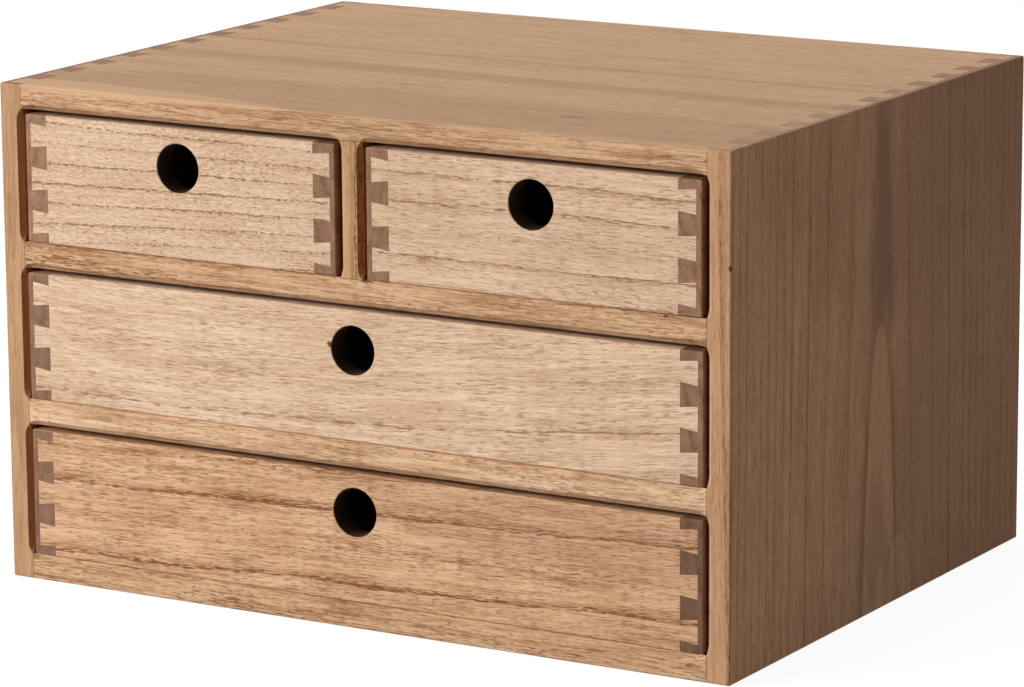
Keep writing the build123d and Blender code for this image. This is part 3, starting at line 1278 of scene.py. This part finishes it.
@dataclass
class GlueLines:
    """The thin dark lines where the boards are glued together.

    They lie lift in front of the wood and end edge before its eased edges.
    """

    width: float = 0.00022
    lift: float = 0.00001
    edge: float = 0.0008
    tail_slope: float = math.radians(7.0)
    case_row: TailRow = TailRow(tails=12, pitch_mm=21.6, pin_mm=11.3, length_mm=7.4)
    drawer_row: TailRow = TailRow(tails=3, pitch_mm=17.5, pin_mm=9.5, length_mm=7.6)
    case_glue: GlueFinish = GlueFinish("glue_line_case", srgb(112, 78, 54))
    drawer_glue: GlueFinish = GlueFinish("glue_line_drawer", srgb(124, 90, 66))

    def _settings(self, row: TailRow, length: float, depth: float,
                  material: bpy.types.Material) -> dict[str, object]:
        """Values for the inputs of the dovetails' tree.

        Args:
            row: The dovetails at each end of the board.
            length: The board's length from end to end.
            depth: The board's size along the rows.
            material: The glue's material.

        Returns:
            The values by the inputs' names.
        """
        tail_length = row.length_mm * MM
        return {
            "Span": length - 2 * tail_length, "Reach": depth - 2 * self.edge,
            "Tails": row.tails, "Tail Pitch": row.pitch_mm * MM, "Pin Width": row.pin_mm * MM,
            "Tail Length": tail_length, "Tail Slope": self.tail_slope,
            "Line Width": self.width, "Material": material,
        }

    def _show(self, mesh: bpy.types.Mesh, body: str) -> None:
        """Show a mesh of lines.

        Args:
            mesh: The lines.
            body: The body that they ride on.
        """
        lines = put(mesh.name, mesh)
        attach(lines, body)
        LOG.info("%s: %d faces on body %s", lines.name, len(mesh.polygons), body)

    def _on_drawer(self, tails: DovetailLines, name: str, material: bpy.types.Material) -> None:
        """Lines of the dovetails on one drawer's face.

        Args:
            tails: The dovetails' tree.
            name: The drawer's name, such as upper_left.
            material: The glue's material.
        """
        low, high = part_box(f"{name}_drawer_front")
        settings = self._settings(self.drawer_row, high.x - low.x, high.z - low.z, material)
        middle = (low + high) / 2
        place = Matrix.Translation((middle.x, low.y - self.lift, middle.z))
        place = place @ Matrix.Rotation(math.pi / 2, 4, "X")
        mesh = tails.bake(f"{name}_drawer_glue_lines", settings, place)
        self._show(mesh, f"{name}_drawer")

    def _on_top(self, tails: DovetailLines, material: bpy.types.Material) -> None:
        """Lines of the dovetails on the case's top.

        Args:
            tails: The dovetails' tree.
            material: The glue's material.
        """
        low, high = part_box("top_panel")
        settings = self._settings(self.case_row, high.x - low.x, high.y - low.y, material)
        place = Matrix.Translation((0.0, (low.y + high.y) / 2, high.z + self.lift))
        self._show(tails.bake("case_top_glue_lines", settings, place), "case")

    def _on_front(self, material: bpy.types.Material) -> None:
        """Lines of the butt joints on the case's front.

        Args:
            material: The glue's material.
        """
        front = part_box("top_panel")[0].y - self.lift
        half = self.width / 2
        corners, faces = [], []
        for (left, bottom), (right, top) in self._front_lines():
            first = len(corners)
            wide = half if left == right else 0.0
            tall = half if bottom == top else 0.0
            corners += [
                (left - wide, front, bottom - tall), (right + wide, front, bottom - tall),
                (right + wide, front, top + tall), (left - wide, front, top + tall),
            ]
            faces.append((first, first + 1, first + 2, first + 3))
        mesh = bpy.data.meshes.new("case_front_glue_lines")
        mesh.from_pydata(corners, [], faces)
        mesh.materials.append(material)
        self._show(mesh, "case")

    def _front_lines(self) -> list[tuple[tuple[float, float], tuple[float, float]]]:
        """The joint lines on the case's front.

        Returns:
            Two ends of each line, across and up.
        """
        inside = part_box("right_side")[0].x
        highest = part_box("top_panel")[1].z - self.edge
        lines = []
        for node in ("top_panel", "upper_shelf", "lower_shelf", "bottom_panel"):
            low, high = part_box(node)
            bottom, top = max(low.z, self.edge), min(high.z, highest)
            lines += [((x, bottom), (x, top)) for x in (-inside, inside)]
        left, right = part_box("centre_divider")[0].x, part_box("centre_divider")[1].x
        for z in (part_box("top_panel")[0].z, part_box("upper_shelf")[1].z):
            lines.append(((left, z), (right, z)))
        return lines

    def draw(self, drawers: list[str]) -> None:
        """Draw every glue line that shows.

        Args:
            drawers: The drawers' names.
        """
        tails = DovetailLines()
        dark = self.case_glue.material()
        self._on_top(tails, dark)
        self._on_front(dark)
        pale = self.drawer_glue.material()
        for name in drawers:
            self._on_drawer(tails, name, pale)


@dataclass(frozen=True)
class Lamp:
    """A soft rectangular lamp that faces the middle of the chest.

    energy is in watts.
    """

    name: str
    place: Point
    size: tuple[float, float]
    energy: float
    aim: Point = (0.0, 0.0, 0.1)

    def hang(self) -> None:
        """Put the lamp in the scene."""
        data = bpy.data.lights.new(self.name, "AREA")
        data.shape = "RECTANGLE"
        data.size, data.size_y = self.size
        data.energy = self.energy
        lamp = put(self.name, data)
        way = Vector(self.aim) - Vector(self.place)
        turn = way.to_track_quat("-Z", "Y").to_matrix().to_4x4()
        lamp.matrix_world = Matrix.Translation(self.place) @ turn


@dataclass(frozen=True)
class FloorFinish:
    """Floor that is white to the camera and grey to the light that bounces.

    bounced and seen are its greys to such light and to the camera, and glow
    is what lifts the grey that the camera sees to white.
    """

    bounced: float = 0.28
    seen: float = 0.2
    glow: float = 0.92

    def material(self) -> bpy.types.Material:
        """The floor's material.

        Returns:
            The new material.
        """
        material = bpy.data.materials.new("floor")
        tree = Tree.emptied(material)
        greys = []
        for grey in (self.bounced, self.seen):
            shader = tree.add("ShaderNodeBsdfDiffuse")
            tree.feed(shader.inputs["Color"], (grey,) * 3)
            greys.append(shader.outputs[0])
        glow = tree.add("ShaderNodeEmission")
        tree.feed(glow.inputs["Strength"], self.glow)
        white = tree.add("ShaderNodeAddShader")
        tree.feed(white.inputs[0], greys[1])
        tree.feed(white.inputs[1], glow.outputs[0])
        choose = tree.add("ShaderNodeMixShader")
        tree.feed(choose.inputs[0], tree.seen())
        tree.feed(choose.inputs[1], greys[0])
        tree.feed(choose.inputs[2], white.outputs[0])
        tree.surface(choose.outputs[0])
        return material


@dataclass
class Studio:
    """The camera, the pale floor, the white world and the soft lamps.

    The camera stands at the photograph's angle: azimuth, elevation and roll
    are in degrees.  The floor lies floor_drop below the chest, so that they
    don't share a plane, and sky is how bright the world is as a light.
    """

    target: Point = (-0.00157, -0.00381, 0.09017)
    distance: float = 1.99156
    azimuth: float = 30.6828
    elevation: float = 12.3011
    roll: float = -0.3953
    lens_mm: float = 171.7235
    sensor_mm: float = 36.0
    farthest: float = 50.0
    floor_size: float = 8.0
    floor_drop: float = 0.0002
    floor_finish: FloorFinish = FloorFinish()
    sky: float = 0.15
    lamps: tuple[Lamp, ...] = (
        Lamp("key_lamp", (-1.88, -2.28, 1.0), (1.4, 1.2), 97.0),
        Lamp("overhead_lamp", (-0.3, 0.55, 1.75), (0.9, 0.8), 11.0),
        Lamp("fill_lamp", (0.64, -0.19, 0.16), (0.24, 0.34), 0.34),
    )

    def set_up(self) -> None:
        """Make the camera, the floor, the world and the lamps."""
        self._camera()
        self._floor()
        self._world()
        for lamp in self.lamps:
            lamp.hang()
        bpy.context.scene.view_settings.view_transform = "Standard"
        LOG.info("studio: camera, floor and %d lamps", len(self.lamps))

    def _camera(self) -> None:
        """Camera at the photograph's viewing angle."""
        data = bpy.data.cameras.new("camera")
        data.lens = self.lens_mm
        data.sensor_width = self.sensor_mm
        data.sensor_fit = "HORIZONTAL"
        data.clip_end = self.farthest
        camera = put("camera", data)
        turn, rise = math.radians(self.azimuth), math.radians(self.elevation)
        level = math.cos(rise)
        back = Vector((math.sin(turn) * level, -math.cos(turn) * level, math.sin(rise)))
        look = Euler((math.pi / 2 - rise, 0.0, turn), "XYZ").to_matrix()
        look = look @ Euler((0.0, 0.0, math.radians(self.roll)), "XYZ").to_matrix()
        place = Vector(self.target) + back * self.distance
        camera.matrix_world = Matrix.Translation(place) @ look.to_4x4()
        bpy.context.scene.camera = camera

    def _floor(self) -> None:
        """Pale floor that shows white and keeps the chest's soft shadow."""
        half, low = self.floor_size / 2, -self.floor_drop
        mesh = bpy.data.meshes.new("floor")
        corners = [(-half, -half, low), (half, -half, low), (half, half, low), (-half, half, low)]
        mesh.from_pydata(corners, [], [(0, 1, 2, 3)])
        mesh.materials.append(self.floor_finish.material())
        floor = put("floor", mesh)

    def _world(self) -> None:
        """White backdrop to the camera, soft even light to everything else."""
        world = bpy.data.worlds.new("studio")
        tree = Tree.emptied(world)
        light = tree.add("ShaderNodeBackground")
        tree.feed(light.inputs["Color"], (1.0, 1.0, 1.0))
        strength = tree.math("MULTIPLY_ADD", tree.seen(), 1.0 - self.sky, self.sky)
        tree.feed(light.inputs["Strength"], strength)
        tree.surface(light.outputs[0], "ShaderNodeOutputWorld")
        bpy.context.scene.world = world


def main() -> None:
    """Load the frame, dress every board and set up the studio."""
    logging.basicConfig(level=logging.INFO, format="%(name)s %(message)s")
    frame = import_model()
    Studio().set_up()
    wood = SolidWood()
    faces = Faces.of_case()
    Case.build(faces).dress(frame["nodes"], wood)
    looks = drawer_looks(faces)
    for number, look in enumerate(looks):
        seed = FIRST_DRAWER_SEED + DRAWER_SEED_STEP * number
        Drawer.build(look, seed).dress(frame["nodes"], wood)
    GlueLines().draw([look.name for look in looks])


if __name__ == "__main__":
    main()
